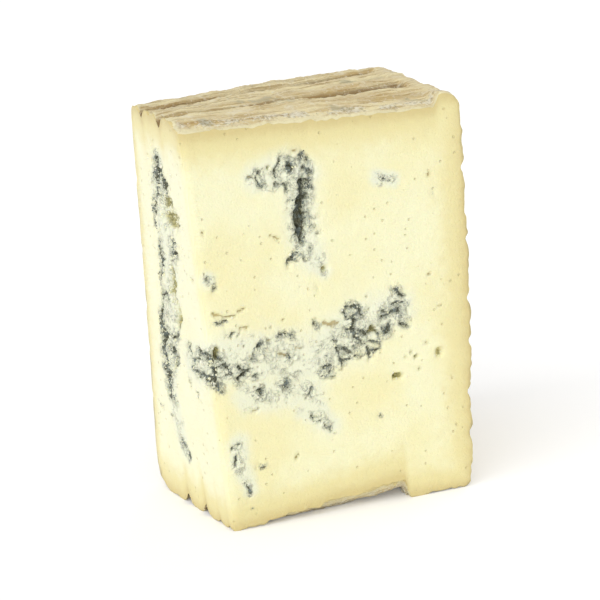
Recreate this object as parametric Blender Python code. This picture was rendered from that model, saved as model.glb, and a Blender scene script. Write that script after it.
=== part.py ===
"""A wedge of blue cheese, standing on its ridged rind.

The wedge is one solid. Its front (-Y) and left (-X) faces are flat knife cuts. The top and the
foot keep the ridges of the draining mould, which fan out towards the right. The right end (+X)
and the back (+Y) are the rounded rim of the cheese, with shallow hoop marks.
"""

import bmesh
import bpy
import numpy as np

MM = 0.001

# Driving dimensions. They are measured from the foot of the edge between the two cuts.
HEIGHT = 120 * MM
FRONT_WIDTH = 77.3 * MM
LEFT_DEPTH = (51.5 * MM, 40.5 * MM)  # at the foot, and at the top
RIGHT_DEPTH = (82 * MM, 79 * MM)

# The left cut leans out at the top and runs askew, the front cut leans back, and the rim
# spreads towards the back. A slope is a run along X for each unit of depth.
LEFT_LEAN = 9.1 * MM
LEFT_SLOPE = (0.110, 0.015)
FRONT_LEAN = 1.2 * MM
RIM_SLOPE = 0.18
RIM_BULGE = 1.3 * MM  # at half height

# Lines of the top, grooves and crests by turns from the front cut to the back: depth at the
# left cut, depth at the rim, height at the left cut and height at the rim, in millimetres.
TOP_LINES = (
    (0, 0, 116.2, 116.4),
    (11, 23, 119.8, 120.2),
    (15.7, 35, 116.7, 117.4),
    (21, 48, 119.8, 120.3),
    (24.5, 56, 119.4, 119.0),
    (28, 63, 119.9, 120.5),
    (31, 69, 117.3, 117.8),
    (36, 75, 120.6, 121.0),
)
TOP_STEPS = (4, 3, 3, 2, 2, 3, 3, 4)

# The same for the foot, crests and grooves by turns. Its crests all stand on one level.
FOOT_LINES = (
    (0, 0, 0, 0),
    (2.8, 2, 1.3, 0),
    (5.9, 5, 0, 0),
    (8.7, 11, 1.6, 1.8),
    (11.8, 18, 0, 0),
    (17.7, 28, 4.2, 3.6),
    (23.1, 38, 0, 0),
    (29.6, 48, 4.0, 3.6),
    (34.5, 58, 0, 0),
)
FOOT_STEPS = (2, 2, 2, 2, 3, 3, 3, 3, 4)
FOOT_LAND = 1 / 3  # flat part of the way from a crest to its groove
RIDGE_POWER = 1.7  # above 1, crests are broad and grooves narrow

# The underside lifts at the front cut, more and more from the left cut to the border, and the
# first ridge behind the cut rises too on its way to the border.
FRONT_LIFT = 6.4 * MM
FRONT_LIFT_REACH = 5 * MM
FIRST_RIDGE_LIFT = 3 * MM
FIRST_RIDGE_RISE = (0.45, 0.70)  # parts of the width
FIRST_RIDGE_REACH = (6 * MM, 14 * MM)

# The ridges run out into a plain border along the rim, between these parts of the width.
TOP_BORDER = (0.90, 0.93)
FOOT_BORDER = (0.71, 0.74)

# The rim's edges are rounded as quarter ellipses, with these half-axes.
RIM_ROUND = 5 * MM
BACK_ROUND = (11 * MM, 3 * MM)  # at the foot, and at the top
CORNER_ROUND = 9 * MM  # where rim and back meet
CORNER_REACH = 25 * MM
TOP_ROUND = 4 * MM
FOOT_ROUND = (3 * MM, 12 * MM)  # at the front cut, and from FOOT_ROUND_REACH backwards
FOOT_ROUND_REACH = 30 * MM

# Shallow hoop marks round the rim, at these parts of the height.
HOOPS = np.array([0.25, 0.38, 0.49, 0.64, 0.82])
HOOP_HALF_WIDTH = 0.018
HOOP_DEPTH = 0.7 * MM

# Where the mesh has its lines, as parts of the width and of the height.
WIDTH_LINES = np.concatenate(
    [np.linspace(0, FOOT_BORDER[0], 9), FOOT_BORDER[1:], [0.80, 0.86], TOP_BORDER, [0.955, 0.98, 1]]
)
HEIGHT_LINES = np.sort(
    np.concatenate(
        [[0, 0.02, 0.045, 0.07, 0.10, 0.17, 0.31, 0.44, 0.56, 0.73, 0.91, 0.96, 0.98, 1]]
        + [HOOPS + side * HOOP_HALF_WIDTH for side in (-1, 0, 1)]
    )
)

PASTE_COLOUR = (0.93, 0.86, 0.58, 1)


def mix(start, end, part):
    return start + (end - start) * part


def smooth(low, high, value):
    """0 below low, 1 above high, and an even S curve between them."""
    part = np.clip((value - low) / (high - low), 0, 1)
    return part * part * (3 - 2 * part)


def ridged(depth, height, steps, back_edge, crest_first, land):
    """Depths, heights and crest level of a ridged surface's lines, from the front cut backwards.

    Between a crest and a groove the surface drops by a power of the way from one to the other,
    once past the flat land. Behind the last crest it runs level to the back edge.
    """
    depth = np.append(depth, back_edge)
    height = np.append(height, height[-1])
    crests = slice(0 if crest_first else 1, None, 2)
    lines = []
    for gap, count in enumerate(steps):
        to_crest = (gap % 2 == 0) != crest_first
        crest, groove = (gap + 1, gap) if to_crest else (gap, gap + 1)
        for part in np.arange(count) / count:
            way = 1 - part if to_crest else part
            drop = max(0, (way - land) / (1 - land)) ** RIDGE_POWER
            lines.append((mix(depth[gap], depth[gap + 1], part), mix(height[crest], height[groove], drop)))
    lines.append((depth[-1], height[-1]))
    depths, heights = np.array(lines).T
    return depths, heights, np.interp(depths, depth[crests], height[crests])


def ridged_face(table, steps, back_edges, border, crest_first, land):
    """Depth and height of a ridged face at every (width line, depth line)."""
    table = np.array(table) * MM
    left = ridged(table[:, 0], table[:, 2], steps, back_edges[0], crest_first, land)
    right = ridged(table[:, 1], table[:, 3], steps, back_edges[1], crest_first, land)
    width = WIDTH_LINES[:, None]
    depth, height, crest_level = (mix(a, b, width) for a, b in zip(left, right))
    return depth, mix(height, crest_level, smooth(*border, width))


def underside_lift(depth):
    """How far the underside is lifted near the front cut, at every (width line, depth line)."""
    width = WIDTH_LINES[:, None]
    at_cut = FRONT_LIFT * width / FOOT_BORDER[0] * np.clip(1 - depth / FRONT_LIFT_REACH, 0, 1)
    behind = FIRST_RIDGE_LIFT * smooth(*FIRST_RIDGE_RISE, width) * (1 - smooth(*FIRST_RIDGE_REACH, depth))
    return np.maximum(at_cut, behind) * (1 - smooth(*FOOT_BORDER, width))


def ridged_block(column, row, layer):
    """Positions of mesh points, given their width, depth and height line numbers, before rounding."""
    top_depth, top_height = ridged_face(
        TOP_LINES, TOP_STEPS, (LEFT_DEPTH[1], RIGHT_DEPTH[1]), TOP_BORDER, False, 0
    )
    foot_depth, foot_height = ridged_face(
        FOOT_LINES, FOOT_STEPS, (LEFT_DEPTH[0], RIGHT_DEPTH[0]), FOOT_BORDER, True, FOOT_LAND
    )
    foot_height = np.maximum(foot_height, underside_lift(foot_depth))

    width, up = WIDTH_LINES[column], HEIGHT_LINES[layer]
    y = mix(foot_depth[column, row], top_depth[column, row], up)
    back = mix(foot_depth[column, -1], top_depth[column, -1], up)
    lean = FRONT_LEAN * up * (1 - y / back)
    left_x = -LEFT_LEAN * up - y * mix(*LEFT_SLOPE, up)
    right_x = FRONT_WIDTH + RIM_SLOPE * y + RIM_BULGE * np.sin(np.pi * up)
    # Only the outermost layers follow the ridges, so the layers between them stay level.
    z = up * HEIGHT + (top_height[column, row] - HEIGHT) * up**12
    z = z + foot_height[column, row] * (1 - up) ** 12
    return np.stack([mix(left_x, right_x, width), y + lean, z], axis=1), right_x, back


def round_rim(points, right_x, back, up):
    """Rounds the edges where rim, back, top and foot meet.

    A point's offsets from the inner block are scaled from square corners to elliptical ones.
    """
    x, y = points[:, 0], points[:, 1]
    rim_round = mix(CORNER_ROUND, RIM_ROUND, smooth(0, CORNER_REACH, back - y))
    back_round = mix(*BACK_ROUND, smooth(0.2, 0.8, up))
    back_round = mix(CORNER_ROUND, back_round, smooth(0, CORNER_REACH, right_x - x))
    foot_round = mix(*FOOT_ROUND, smooth(0, FOOT_ROUND_REACH, y))
    vertical_round = np.where(up > 0.5, TOP_ROUND, foot_round)
    radii = np.stack([rim_round, back_round, vertical_round], axis=1)
    inset = np.stack([right_x - x, back - y, np.minimum(up, 1 - up) * HEIGHT], axis=1)
    reach = np.clip(1 - inset / radii, 0, 1)
    shrink = 1 - reach.max(axis=1) / np.maximum(np.linalg.norm(reach, axis=1), 1e-9)
    outward = np.stack([np.ones_like(x), np.ones_like(x), np.where(up > 0.5, 1.0, -1.0)], axis=1)
    return points - outward * reach * radii * shrink[:, None]


def hoop_marks(points, column, row, up):
    """Presses the hoop marks into the rim and the back."""
    offsets = np.abs(up[:, None] - HOOPS)
    mark = np.clip(1 - offsets / HOOP_HALF_WIDTH, 0, 1).max(axis=1) * HOOP_DEPTH
    points[:, 0] -= mark * (column == len(WIDTH_LINES) - 1)
    points[:, 1] -= mark * (row == sum(TOP_STEPS))
    return points


def line_box():
    """A cube cut into the mesh's lines, with each point's line number along X, Y and Z."""
    gaps = (len(WIDTH_LINES) - 1, sum(TOP_STEPS), len(HEIGHT_LINES) - 1)
    mesh = bmesh.new()
    bmesh.ops.create_cube(mesh, size=1)
    for axis, gap_count in enumerate(gaps):
        along = [e for e in mesh.edges if abs(e.verts[0].co[axis] - e.verts[1].co[axis]) > 0.5]
        bmesh.ops.subdivide_edges(mesh, edges=along, cuts=gap_count - 1, use_grid_fill=True)
    corners = np.array([v.co for v in mesh.verts])
    return mesh, np.rint((corners + 0.5) * gaps).astype(int)


def paste_material():
    material = bpy.data.materials.new("cheese_paste")
    material.use_nodes = True
    surface = material.node_tree.nodes["Principled BSDF"]
    surface.inputs["Base Color"].default_value = PASTE_COLOUR
    surface.inputs["Roughness"].default_value = 0.45
    surface.inputs["Metallic"].default_value = 0
    return material


def cheese_wedge():
    """The wedge, its bounding box centred over the origin and its foot on Z = 0."""
    mesh, lines = line_box()
    column, row, layer = lines.T
    up = HEIGHT_LINES[layer]
    points, right_x, back = ridged_block(column, row, layer)
    points = round_rim(points, right_x, back, up)
    points = hoop_marks(points, column, row, up)
    points[:, :2] -= (points[:, :2].min(axis=0) + points[:, :2].max(axis=0)) / 2
    for vertex, point in zip(mesh.verts, points):
        vertex.co = point
    bmesh.ops.recalc_face_normals(mesh, faces=mesh.faces)
    data = bpy.data.meshes.new("cheese_wedge")
    mesh.to_mesh(data)
    mesh.free()
    data.materials.append(paste_material())
    return bpy.data.objects.new("cheese_wedge", data)


def main():
    for old in list(bpy.data.objects):
        bpy.data.objects.remove(old)
    collection = bpy.data.collections.new("blue_cheese_wedge")
    bpy.context.scene.collection.children.link(collection)
    collection.objects.link(cheese_wedge())


main()
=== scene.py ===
"""Looks of a wedge of blue cheese, laid out as an add-on with one operator for each piece.

The body is worked out again from the wedge's own sizes, with lines close enough together to
carry the cheese's relief: the holes and veins of the two knife cuts, the wrinkled rind and the
rough lips where knife and rind meet. Mould grains and crumbs are scattered over it.
Shapes are worked out in millimetres, from the foot of the edge between the two cuts.
"""

import itertools

import bpy
import numpy as np
from bpy.props import FloatProperty, FloatVectorProperty, IntProperty, PointerProperty
from mathutils import Matrix, Vector


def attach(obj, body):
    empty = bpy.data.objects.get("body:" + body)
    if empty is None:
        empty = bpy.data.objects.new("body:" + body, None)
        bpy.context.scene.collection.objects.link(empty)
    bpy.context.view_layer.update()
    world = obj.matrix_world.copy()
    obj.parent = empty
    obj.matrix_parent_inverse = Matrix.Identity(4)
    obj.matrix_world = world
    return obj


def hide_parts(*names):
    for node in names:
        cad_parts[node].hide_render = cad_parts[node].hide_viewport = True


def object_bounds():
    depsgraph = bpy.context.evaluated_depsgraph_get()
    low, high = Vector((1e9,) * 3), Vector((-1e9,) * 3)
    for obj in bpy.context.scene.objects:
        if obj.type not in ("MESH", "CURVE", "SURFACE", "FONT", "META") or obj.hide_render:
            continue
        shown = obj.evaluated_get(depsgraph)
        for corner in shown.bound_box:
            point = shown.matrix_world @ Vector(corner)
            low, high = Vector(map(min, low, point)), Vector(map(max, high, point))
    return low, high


bl_info = {
    "name": "Blue Cheese Wedge",
    "version": (1, 0, 0),
    "blender": (4, 5, 0),
    "location": "3D View > Sidebar > Cheese",
    "description": "Builds a wedge of blue cheese with its natural rind, mould veins and crumbs",
    "category": "Object",
}

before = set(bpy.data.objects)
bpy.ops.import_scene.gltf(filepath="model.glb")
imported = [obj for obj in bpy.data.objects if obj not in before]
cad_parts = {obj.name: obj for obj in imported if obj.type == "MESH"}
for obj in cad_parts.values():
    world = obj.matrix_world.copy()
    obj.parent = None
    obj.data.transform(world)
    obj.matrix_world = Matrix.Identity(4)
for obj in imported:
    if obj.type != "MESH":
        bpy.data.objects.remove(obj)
CAD_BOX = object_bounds()
MM = 0.001

# The wedge's sizes, in millimetres, as in the model of its solid.
HEIGHT = 120
FRONT_WIDTH = 77.3
LEFT_DEPTH = (51.5, 40.5)  # at the foot, and at the top
RIGHT_DEPTH = (82, 79)
LEFT_LEAN = 9.1
LEFT_SLOPE = (0.110, 0.015)
FRONT_LEAN = 1.2
RIM_SLOPE = 0.18
RIM_BULGE = 1.3

# Grooves and crests of the top by turns, from the front cut to the back: depth at the left cut,
# depth at the rim, height at the left cut and height at the rim.
TOP_LINES = (
    (0, 0, 116.2, 116.4),
    (11, 23, 119.8, 120.2),
    (15.7, 35, 116.7, 117.4),
    (21, 48, 119.8, 120.3),
    (24.5, 56, 119.4, 119.0),
    (28, 63, 119.9, 120.5),
    (31, 69, 117.3, 117.8),
    (36, 75, 120.6, 121.0),
)
TOP_STEPS = (4, 3, 3, 2, 2, 3, 3, 4)

# Crests and grooves of the foot by turns. Its crests all stand on one level.
FOOT_LINES = (
    (0, 0, 0, 0),
    (2.8, 2, 1.3, 0),
    (5.9, 5, 0, 0),
    (8.7, 11, 1.6, 1.8),
    (11.8, 18, 0, 0),
    (17.7, 28, 4.2, 3.6),
    (23.1, 38, 0, 0),
    (29.6, 48, 4.0, 3.6),
    (34.5, 58, 0, 0),
)
FOOT_STEPS = (2, 2, 2, 2, 3, 3, 3, 3, 4)
FOOT_LAND = 1 / 3
RIDGE_POWER = 1.7

FRONT_LIFT = 6.4
FRONT_LIFT_REACH = 5
FIRST_RIDGE_LIFT = 3
FIRST_RIDGE_RISE = (0.45, 0.70)
FIRST_RIDGE_REACH = (6, 14)
TOP_BORDER = (0.90, 0.93)
FOOT_BORDER = (0.71, 0.74)

RIM_ROUND = 5
BACK_ROUND = (11, 3)
CORNER_ROUND = 9
CORNER_REACH = 25
TOP_ROUND = 4
FOOT_ROUND = (3, 12)
FOOT_ROUND_REACH = 30
HOOPS = np.array([0.25, 0.38, 0.49, 0.64, 0.82])
HOOP_HALF_WIDTH = 0.018
HOOP_DEPTH = 0.7

# Lines of the body's mesh along its width, depth and height.
BODY_GAPS = (150, 60, 190)

# Mould veins on the cuts. A point is its place along the cut, its height and the vein's half
# width there: along the cut is X on the front and Y on the left.
VEINS = (
    # Upper patch of the front cut.
    ("front", (14.0, 103.7, 0.5), (13.6, 102.2, 0.4), (14.1, 100.3, 0.4), (15.1, 99.0, 0.5)),
    ("front", (20.1, 106.9, 0.5), (20.2, 106.0, 0.5), (19.5, 104.5, 0.4), (19.5, 101.7, 0.4)),
    ("front", (18.9, 99.6, 0.6)),
    ("front", (19.7, 100.3, 0.2), (21.7, 98.7, 0.35), (21.7, 97.1, 0.3)),
    ("front", (23.3, 105.4, 0.9), (24.1, 105.2, 0.8), (23.4, 103.5, 0.9)),
    ("front", (26.9, 108.0, 0.3), (26.7, 106.2, 0.5), (26.5, 105.1, 0.5)),
    ("front", (28.5, 105.0, 0.6)),
    ("front", (28.7, 102.7, 0.7), (28.4, 101.7, 0.6)),
    ("front", (27.6, 103.1, 0.4), (29.7, 101.8, 0.5)),
    ("front", (28.3, 99.7, 0.7), (28.4, 97.4, 0.9), (29.6, 97.0, 0.4)),
    # Below the needle channel.
    ("front", (29.2, 86.5, 0.5)),
    ("front", (31.3, 84.1, 0.4)),
    ("front", (28.7, 80.4, 0.5)),
    ("front", (24.1, 79.0, 0.5), (22.6, 77.5, 0.8), (21.5, 76.8, 0.6)),
    ("front", (26.5, 77.3, 0.25), (27.0, 76.7, 0.3)),
    # Right cluster: the ring round a white curd, and what hangs below it.
    ("front", (37.6, 60.8, 0.4), (38.5, 61.3, 0.4), (40.3, 60.7, 0.5), (41.4, 61.0, 0.7)),
    ("front", (41.4, 61.0, 0.7), (42.7, 59.5, 0.7), (43.2, 58.3, 0.6), (40.8, 58.2, 0.4)),
    ("front", (40.8, 58.2, 0.4), (38.4, 59.0, 0.4), (37.6, 60.8, 0.4)),
    ("front", (41.2, 56.9, 0.9), (40.1, 55.0, 1.2), (41.2, 53.0, 1.1), (42.3, 50.7, 0.8)),
    ("front", (39.1, 54.3, 0.5), (41.5, 54.6, 0.6)),
    ("front", (43.0, 53.8, 0.6), (44.5, 52.7, 0.7)),
    ("front", (34.1, 51.9, 0.4), (35.6, 51.7, 0.5)),
    ("front", (41.0, 49.2, 0.5)),
    ("front", (35.3, 49.1, 0.5), (37.4, 48.7, 0.8), (39.1, 47.9, 0.5)),
    ("front", (35.3, 49.1, 0.5), (36.0, 46.6, 0.4), (36.5, 44.4, 0.5)),
    ("front", (36.5, 45.2, 0.3), (38.4, 46.1, 0.3), (41.5, 46.4, 0.3), (42.6, 45.8, 0.4)),
    ("front", (44.9, 48.0, 0.6), (44.8, 44.9, 0.5)),
    ("front", (43.2, 50.3, 0.4), (44.4, 49.8, 0.4)),
    ("front", (45.8, 47.3, 0.5), (47.4, 47.5, 0.6), (49.2, 48.2, 0.4)),
    ("front", (46.7, 46.0, 0.4), (47.4, 47.5, 0.5)),
    ("front", (47.9, 52.8, 0.3), (48.4, 49.8, 0.4), (45.9, 50.2, 0.3)),
    ("front", (50.3, 58.8, 0.5), (51.3, 58.6, 0.5)),
    ("front", (49.0, 57.1, 0.5), (52.4, 56.9, 0.6)),
    ("front", (49.8, 53.9, 0.5), (51.3, 52.3, 1.0), (52.9, 54.4, 0.4)),
    ("front", (53.1, 64.4, 0.6), (54.9, 64.2, 0.6), (57.0, 62.7, 0.5)),
    ("front", (52.9, 60.6, 0.5), (54.9, 60.9, 0.4), (56.9, 60.4, 0.6)),
    ("front", (53.4, 57.8, 0.5), (54.7, 58.7, 0.9), (55.9, 58.2, 0.9)),
    ("front", (55.8, 57.1, 0.8), (56.7, 55.5, 0.5), (56.5, 54.4, 0.5), (58.2, 53.3, 0.6)),
    ("front", (29.6, 44.0, 0.4), (31.9, 45.2, 0.6), (33.5, 45.1, 0.4)),
    ("front", (33.1, 44.0, 0.6), (33.0, 42.6, 0.5)),
    ("front", (30.3, 41.9, 0.4), (34.2, 41.3, 0.5)),
    ("front", (25.9, 38.9, 0.4), (26.1, 37.1, 0.4)),
    ("front", (28.4, 58.0, 0.4), (29.6, 56.9, 0.5)),
    ("front", (30.1, 67.7, 0.3)),
    # Middle of the front cut.
    ("front", (-1.3, 61.9, 0.6), (1.4, 62.2, 0.4)),
    ("front", (2.5, 58.7, 0.5)),
    ("front", (4.6, 49.0, 0.5), (7.1, 47.2, 0.5), (4.3, 44.8, 0.5)),
    ("front", (9.8, 45.4, 0.6)),
    ("front", (10.4, 41.3, 0.5), (11.2, 39.5, 0.7)),
    ("front", (18.3, 41.8, 1.1), (18.4, 40.9, 0.9)),
    ("front", (12.1, 54.9, 0.5), (11.7, 53.3, 0.5)),
    ("front", (9.7, 53.0, 0.3), (9.2, 50.3, 0.4)),
    ("front", (14.2, 50.9, 0.4)),
    ("front", (17.0, 55.5, 0.5), (19.0, 56.6, 0.3), (21.0, 55.6, 0.6)),
    ("front", (20.6, 49.0, 0.5)),
    ("front", (31.1, 48.1, 0.5)),
    # Network round the corner between the cuts.
    ("front", (-2.8, 53.5, 0.5), (-2.9, 51.3, 0.6), (-3.5, 50.3, 0.6), (-1.9, 49.2, 0.5)),
    ("front", (-5.2, 46.9, 0.5), (-3.6, 45.5, 0.9), (-1.9, 43.9, 0.9), (-1.2, 43.2, 0.5)),
    ("front", (-2.6, 49.0, 0.5), (-2.6, 47.9, 0.7), (-2.7, 45.7, 0.6)),
    ("front", (-0.7, 49.3, 0.5), (0.7, 49.6, 0.5), (2.4, 47.7, 0.6), (0.8, 46.8, 0.5)),
    ("front", (-1.4, 51.9, 0.4), (-0.1, 50.6, 0.5)),
    ("front", (-0.6, 42.0, 0.5)),
    ("left", (14.3, 52.6, 0.7), (13.4, 49.9, 0.7), (13.2, 47.0, 0.6), (11.2, 45.8, 0.7)),
    ("left", (11.2, 45.8, 0.7), (6.9, 46.5, 0.7), (4.0, 46.2, 0.7), (1.2, 46.4, 0.7)),
    ("left", (8.5, 52.5, 0.6), (9.0, 50.6, 0.6), (11.5, 49.5, 0.5)),
    ("left", (8.4, 52.6, 0.6), (4.6, 53.3, 0.6), (1.5, 53.5, 0.6)),
    ("left", (4.8, 51.3, 0.7), (2.2, 51.6, 0.6), (1.0, 52.7, 0.6)),
    ("left", (19.1, 42.1, 0.6), (17.5, 40.8, 0.5)),
    ("left", (12.6, 38.7, 0.6)),
    ("left", (5.1, 46.1, 0.7), (2.7, 44.9, 0.9)),
    # Long vein down the left cut.
    ("left", (23.7, 107.2, 1.0), (21.8, 105.0, 1.0), (21.0, 103.0, 1.0)),
    ("left", (24.4, 103.8, 1.7), (23.6, 99.4, 1.8), (24.9, 96.4, 1.2)),
    ("left", (21.0, 103.0, 1.2), (18.7, 102.1, 1.1), (17.8, 99.6, 1.2), (18.8, 98.4, 1.0)),
    ("left", (28.1, 94.4, 0.8), (30.7, 89.8, 0.7), (30.3, 86.1, 0.9), (29.6, 85.1, 0.8)),
    ("left", (27.5, 82.0, 0.8), (28.1, 76.9, 0.9), (28.7, 73.4, 0.8), (31.6, 70.5, 0.6)),
    ("left", (31.4, 67.8, 0.8), (31.0, 64.4, 0.8), (28.4, 66.5, 0.5), (27.5, 64.3, 0.6)),
    ("left", (31.9, 61.5, 0.9), (34.9, 56.2, 0.9), (34.7, 53.5, 1.0)),
    ("left", (34.6, 56.1, 1.3), (33.0, 52.7, 1.6), (34.4, 48.0, 1.4), (34.0, 44.7, 1.5)),
    ("left", (35.2, 42.6, 1.2), (33.6, 40.6, 1.4), (34.6, 37.2, 1.1), (34.7, 33.0, 0.8)),
    ("left", (31.2, 32.8, 0.7)),
    ("left", (18.0, 83.3, 0.9)),
    ("left", (16.6, 81.2, 1.2), (18.2, 79.5, 1.0)),
    # This dark spot at the front end of the big olive hole is partly mould and partly painted shade inside
    # the hole.
    ("left", (12.3, 90.7, 0.9), (12.7, 88.6, 0.8)),
    ("left", (27.6, 52.7, 0.6), (21.8, 54.8, 0.5)),
    ("left", (27.7, 48.8, 1.2), (29.5, 48.2, 0.9)),
    ("left", (25.1, 47.3, 0.6), (28.3, 43.2, 0.7)),
    ("left", (41.9, 27.5, 0.6)),
    ("left", (34.9, 26.9, 0.6)),
    ("left", (30.7, 20.1, 0.5), (29.3, 19.6, 0.6), (26.5, 19.3, 0.6), (25.1, 15.6, 0.7)),
    # Low on the front cut, and near the rim.
    ("front", (0.7, 24.7, 0.25), (4.1, 25.7, 0.2)),
    ("front", (2.2, 21.9, 0.3), (2.0, 20.6, 0.25)),
    ("front", (10.0, 18.1, 0.7)),
    ("front", (4.6, 13.8, 0.3), (5.2, 10.2, 0.25)),
    ("front", (5.9, 6.7, 0.3)),
    ("front", (25.6, 30.8, 0.2), (28.6, 28.2, 0.25), (32.9, 24.7, 0.2)),
    ("front", (47.5, 27.5, 0.3), (48.6, 26.6, 0.3)),
    ("front", (-2.9, 74.7, 0.4)),
    ("front", (-1.2, 72.1, 0.4)),
    ("front", (51.1, 98.4, 0.2), (52.6, 97.9, 0.22), (54.8, 97.1, 0.2)),
    ("front", (68.0, 91.8, 0.3)),
)

# The needle channel, opened lengthways by the front cut.
CHANNEL = (
    ("front", (26.8, 99.3, 1.0), (26.7, 97.1, 0.8), (26.4, 94.8, 1.5), (25.8, 92.6, 1.2)),
    ("front", (25.8, 92.6, 1.2), (26.0, 90.3, 1.7), (25.9, 88.6, 1.6), (25.6, 85.9, 1.3)),
    ("front", (25.6, 85.9, 1.3), (25.7, 83.3, 0.8), (25.7, 81.8, 0.3)),
)

# Open holes lined with olive-green mould.
OLIVE_HOLES = (
    ("front", (32.4, 73.5, 0.9)),
    ("front", (53.6, 38.4, 0.9), (55.0, 38.2, 0.9)),
    ("front", (68.2, 43.9, 0.8), (68.2, 42.9, 0.8)),
    ("front", (16.9, 104.5, 0.5)),
    ("front", (26.8, 91.4, 0.35), (26.9, 89.8, 0.4)),
    ("front", (60.6, 43.3, 0.5)),
    ("front", (-1.6, 18.9, 0.6)),
    ("front", (59.0, 44.9, 0.4)),
    ("front", (-1.7, 54.7, 0.7), (-1.9, 52.6, 0.8)),
    ("front", (48.0, 52.6, 0.3), (46.6, 54.0, 0.8), (45.6, 52.7, 0.5)),
    ("left", (16.2, 94.8, 1.6), (21.5, 94.4, 1.7)),
    ("left", (22.0, 90.0, 1.8), (18.0, 89.4, 2.4), (13.6, 90.6, 2.0)),
    ("left", (21.6, 73.2, 1.8), (22.6, 69.6, 2.2), (23.8, 66.6, 1.6)),
    ("left", (20.7, 64.4, 1.3), (20.2, 61.2, 1.7), (23.0, 57.4, 1.3)),
    ("left", (27.9, 48.7, 1.2)),
    ("left", (18.5, 42.1, 0.4), (17.7, 40.2, 0.5)),
)

# Hair cracks and slits between the curds, hollowed and painted tan; the tan is partly painted shade in the
# crevices.
CRACKS = (
    ("front", (23.5, 108.1, 0.35), (24.9, 108.2, 0.3)),
    ("front", (10.0, 102.0, 0.3), (11.9, 102.4, 0.35)),
    ("front", (18.6, 83.4, 0.3), (16.6, 85.7, 0.3)),
    ("front", (-2.1, 65.0, 0.5), (1.7, 64.2, 0.4), (4.6, 64.2, 0.3)),
    ("front", (5.6, 65.3, 0.3), (7.8, 65.3, 0.5)),
    ("front", (4.4, 57.5, 0.3), (5.4, 59.5, 0.3), (8.6, 59.6, 0.4)),
    ("front", (13.3, 55.3, 0.3), (15.4, 55.3, 0.3)),
    ("front", (14.7, 59.0, 0.4)),
    ("front", (18.9, 60.5, 0.4)),
    ("front", (17.0, 50.0, 0.4), (19.8, 49.7, 0.3)),
    ("front", (22.2, 51.2, 0.4), (24.0, 51.0, 0.3)),
    ("front", (6.2, 54.4, 0.4)),
    ("front", (8.7, 42.7, 0.4)),
    ("front", (8.4, 35.4, 0.3), (9.1, 34.6, 0.4), (10.0, 35.4, 0.3)),
    ("front", (30.9, 57.5, 0.5), (33.8, 56.7, 0.7), (36.8, 56.7, 0.3)),
    ("front", (45.4, 52.5, 0.3), (48.3, 55.0, 0.3)),
    ("front", (57.1, 44.0, 0.4)),
    ("front", (63.9, 47.6, 0.4)),
    ("front", (60.8, 39.4, 0.4)),
    ("front", (60.0, 51.6, 0.4)),
    ("front", (45.1, 63.5, 0.3)),
    ("front", (45.6, 59.9, 0.4)),
    ("front", (68.2, 58.0, 0.4)),
    ("front", (65.2, 67.4, 0.5)),
    ("front", (67.1, 97.5, 0.4), (67.0, 96.0, 0.4)),
    ("front", (-3.7, 88.0, 0.35)),
    ("front", (-3.9, 76.6, 0.35), (-2.0, 76.0, 0.3)),
    ("front", (24.9, 36.2, 0.3)),
    ("front", (29.2, 27.7, 0.4)),
    ("front", (21.1, 19.0, 0.4)),
    ("left", (20.8, 77.9, 0.7), (22.2, 73.4, 0.5)),
    ("left", (6.6, 73.9, 0.6)),
    ("left", (17.4, 52.7, 0.6)),
    ("left", (34.7, 78.7, 0.5)),
    ("left", (9.2, 108.1, 0.4)),
)

# Where the paste turns pale and blue-green round the mould. Half widths are of a soft edge.
HALOS = (
    ("front", (13, 102, 5), (22, 103, 7), (28, 102, 5)),
    ("front", (26, 97, 6), (26, 84, 6), (29, 77, 5), (32, 73, 3)),
    ("front", (-2, 51, 9), (12, 50, 11), (28, 48, 9), (42, 55, 9), (55, 59, 7)),
    ("front", (3, 26, 4), (3, 20, 4), (6, 12, 3)),
    ("front", (24, 33, 4), (32, 27, 4)),
    ("front", (8, 40, 7), (26, 38, 6), (30, 29, 3)),
    ("front", (50, 98, 3), (55, 97, 3)),
    ("front", (-3, 75, 3)),
    ("left", (22, 106, 5), (23, 96, 8), (22, 80, 8), (25, 65, 8), (29, 50, 8), (33, 36, 6)),
    ("left", (33, 36, 5), (28, 18, 5)),
    ("left", (3, 50, 8), (14, 48, 8)),
)


def linear(hex_colour):
    """sRGB hex digits as a linear colour with full cover."""
    shares = np.array([int(hex_colour[i : i + 2], 16) for i in (0, 2, 4)]) / 255
    low = shares / 12.92
    high = ((shares + 0.055) / 1.055) ** 2.4
    return (*np.where(shares <= 0.04045, low, high).tolist(), 1.0)


def mix(start, end, part):
    return start + (end - start) * part


def smooth(low, high, value):
    """0 below low, 1 above high, and an even S curve between them."""
    part = np.clip((value - low) / (high - low), 0, 1)
    return part * part * (3 - 2 * part)


def graded(gaps, *bands):
    """Line places from 0 to 1, denser in bands of (from, to, times as dense).

    The places are equal steps of the summed density, read back as places.
    """
    fine = np.linspace(0, 1, 4001)
    density = np.ones_like(fine)
    for low, high, times in bands:
        density = np.where((fine >= low) & (fine <= high), times, density)
    reached = np.concatenate([[0], np.cumsum(density[1:] + density[:-1])])
    return np.interp(np.linspace(0, reached[-1], gaps + 1), reached, fine)


def hashed(cells, seed):
    """A repeatable value from 0 to 1 for each whole cell: the fraction of a large sine."""
    value = np.sin(cells @ np.array([127.1, 311.7, 74.7]) + 19.19 * seed) * 43758.5453
    return value - np.floor(value)


def noise(points, size, seed):
    """Smooth noise from -1 to 1: cell corners' hashed values, blended by S curves between them."""
    size = np.asarray(size, float)
    cell = np.floor(points / size)
    part = points / size - cell
    part = part * part * (3 - 2 * part)
    total = np.zeros(len(points))
    for corner in itertools.product((0, 1), repeat=3):
        weight = np.where(corner, part, 1 - part).prod(axis=1)
        total += weight * hashed(cell + corner, seed)
    return 2 * total - 1


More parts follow.
